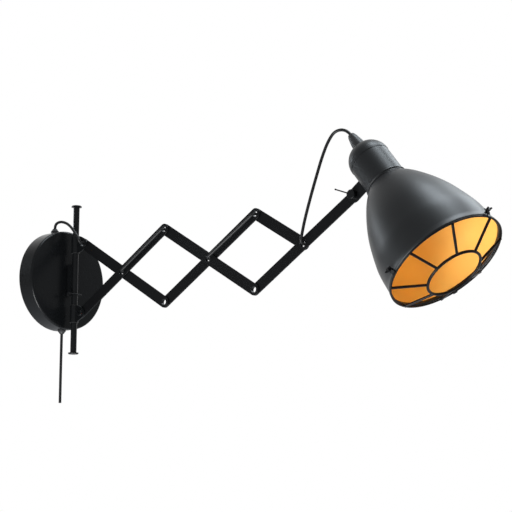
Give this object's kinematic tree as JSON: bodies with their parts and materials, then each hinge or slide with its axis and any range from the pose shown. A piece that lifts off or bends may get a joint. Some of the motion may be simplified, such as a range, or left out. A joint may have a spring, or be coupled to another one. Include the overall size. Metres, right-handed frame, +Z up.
{
  "type": "wall lamp",
  "caption": "Wall lamp on an accordion arm that folds, swings and slides on an upright rod, with a bell shade, wire guard and tilting head.",
  "frame": {"origin": "centre of the wall plate's back face, on the wall", "axes": "+X away from the wall along the arm, +Z up, +Y along the wall, away from the bars' fronts"},
  "size_m": [0.7721, 0.1652, 0.3355],
  "materials": {
    "black_paint": "satin",
    "black_wire": "satin",
    "shade_paint": "satin, copper-gold inside",
    "black_plastic": "satin",
    "cord_jacket": "matte",
    "nylon": "matte",
    "plated_steel": "satin",
    "brass": "polished",
    "holder_plastic": "gloss"
  },
  "bodies": {
    "wall_mount": {"wall_plate": "plated_steel", "canopy_cover": "black_paint", "canopy_grub_screws": "black_paint", "rod_bracket": "black_paint", "bracket_rivets": "black_paint", "hinge_rod": "black_paint", "rod_caps": "black_paint", "rod_lock_pin": "black_wire", "top_gland": "black_plastic", "mains_gland": "black_plastic", "terminal_block": "nylon", "terminal_screws": "plated_steel", "inner_leads": "cord_jacket", "mains_cord": "cord_jacket", "gland_loop_cord": "cord_jacket"},
    "carriage": {"slide_liner": "black_plastic"},
    "upper_sleeve": {"upper_sleeve": "black_paint", "upper_eyelet": "black_paint", "ear_loop_cord": "cord_jacket"},
    "bar_a": {"arm_bar_a": "black_paint", "bar_a_eyelets": "black_paint", "bar_a_cord": "cord_jacket"},
    "bar_b": {"arm_bar_b": "black_paint", "bar_b_eyelet": "black_paint", "bar_b_cord": "cord_jacket"},
    "lower_sleeve": {"lower_sleeve": "black_paint", "lower_liner": "black_plastic", "lower_pivot_screw": "black_paint", "lower_pivot_nut": "black_paint"},
    "bar_c": {"arm_bar_c": "black_paint", "bar_c_eyelets": "black_paint", "bar_c_cord": "cord_jacket"},
    "bar_d": {"arm_bar_d": "black_paint", "bar_d_eyelet": "black_paint", "bar_d_cord": "cord_jacket"},
    "bar_e": {"arm_bar_e": "black_paint", "bar_e_cord": "cord_jacket"},
    "bar_f": {"arm_bar_f": "black_paint", "bar_f_eyelet": "black_paint", "tilt_bolt": "black_paint", "head_loop_cord": "cord_jacket"},
    "head": {"head_bracket": "black_paint", "socket_cup": "black_paint", "cup_cap": "black_paint", "strain_relief": "black_plastic", "holder_body": "holder_plastic", "thread_shell": "brass", "centre_contact": "brass", "holder_nipple": "brass", "holder_lead": "cord_jacket", "shade_ring": "holder_plastic", "neck_ring": "black_paint", "lamp_shade": "shade_paint", "guard_hoop": "black_wire", "guard_ring": "black_wire", "guard_spokes": "black_wire", "guard_clips": "black_wire", "thumb_screws": "black_wire"},
    "tilt_knob": {"tilt_knob": "black_paint", "knob_lever": "black_paint"}
  },
  "joints": [
    {"name": "sleeve_slide", "type": "slide", "parent": "wall_mount", "child": "carriage", "axis": [0, 0, 1], "range_m": [-0.00709, 0.04252], "deforming": ["gland_loop_cord"]},
    {"name": "arm_swing", "type": "hinge", "parent": "carriage", "child": "upper_sleeve", "pos_m": [0.041, 0, 0.05344], "axis": [0, 0, 1], "range_deg": [-75, 75], "deforming": ["ear_loop_cord"]},
    {"name": "arm_fold", "type": "hinge", "parent": "upper_sleeve", "child": "bar_a", "pos_m": [0.0571, 0, 0.05344], "axis": [0, 1, 0], "range_deg": [-7, 42]},
    {"name": "cross_1", "type": "hinge", "parent": "bar_a", "child": "bar_b", "pos_m": [0.14115, 0, 0], "axis": [0, 1, 0], "range_deg": [-84, 14]},
    {"name": "lower_ear", "type": "hinge", "parent": "bar_b", "child": "lower_sleeve", "pos_m": [0.0571, 0, -0.05344], "axis": [0, 1, 0], "range_deg": [-7, 42]},
    {"name": "upper_1", "type": "hinge", "parent": "bar_b", "child": "bar_c", "pos_m": [0.2252, 0, 0.05344], "axis": [0, 1, 0], "range_deg": [-14, 84]},
    {"name": "lower_1", "type": "hinge", "parent": "bar_a", "child": "bar_d", "pos_m": [0.2252, 0, -0.05344], "axis": [0, 1, 0], "range_deg": [-84, 14]},
    {"name": "upper_2", "type": "hinge", "parent": "bar_d", "child": "bar_e", "pos_m": [0.39329, 0, 0.05344], "axis": [0, 1, 0], "range_deg": [-14, 84]},
    {"name": "lower_2", "type": "hinge", "parent": "bar_c", "child": "bar_f", "pos_m": [0.39329, 0, -0.05344], "axis": [0, 1, 0], "range_deg": [-84, 14]},
    {"name": "head_tilt", "type": "hinge", "parent": "bar_f", "child": "head", "pos_m": [0.56308, 0, 0.05452], "axis": [0, -1, 0], "range_deg": [-40, 40], "deforming": ["head_loop_cord"]},
    {"name": "knob_turn", "type": "hinge", "parent": "head", "child": "tilt_knob", "pos_m": [0.56308, 0, 0.05452], "axis": [0, 1, 0], "range_deg": [-140, 60]}
  ],
  "couplings": [
    {"joint": "arm_fold", "follows": "sleeve_slide", "rad_per_m": 17.241},
    {"joint": "cross_1", "follows": "sleeve_slide", "rad_per_m": -34.483},
    {"joint": "lower_ear", "follows": "sleeve_slide", "rad_per_m": 17.241},
    {"joint": "upper_1", "follows": "sleeve_slide", "rad_per_m": 34.483},
    {"joint": "lower_1", "follows": "sleeve_slide", "rad_per_m": -34.483},
    {"joint": "upper_2", "follows": "sleeve_slide", "rad_per_m": 34.483},
    {"joint": "lower_2", "follows": "sleeve_slide", "rad_per_m": -34.483}
  ]
}
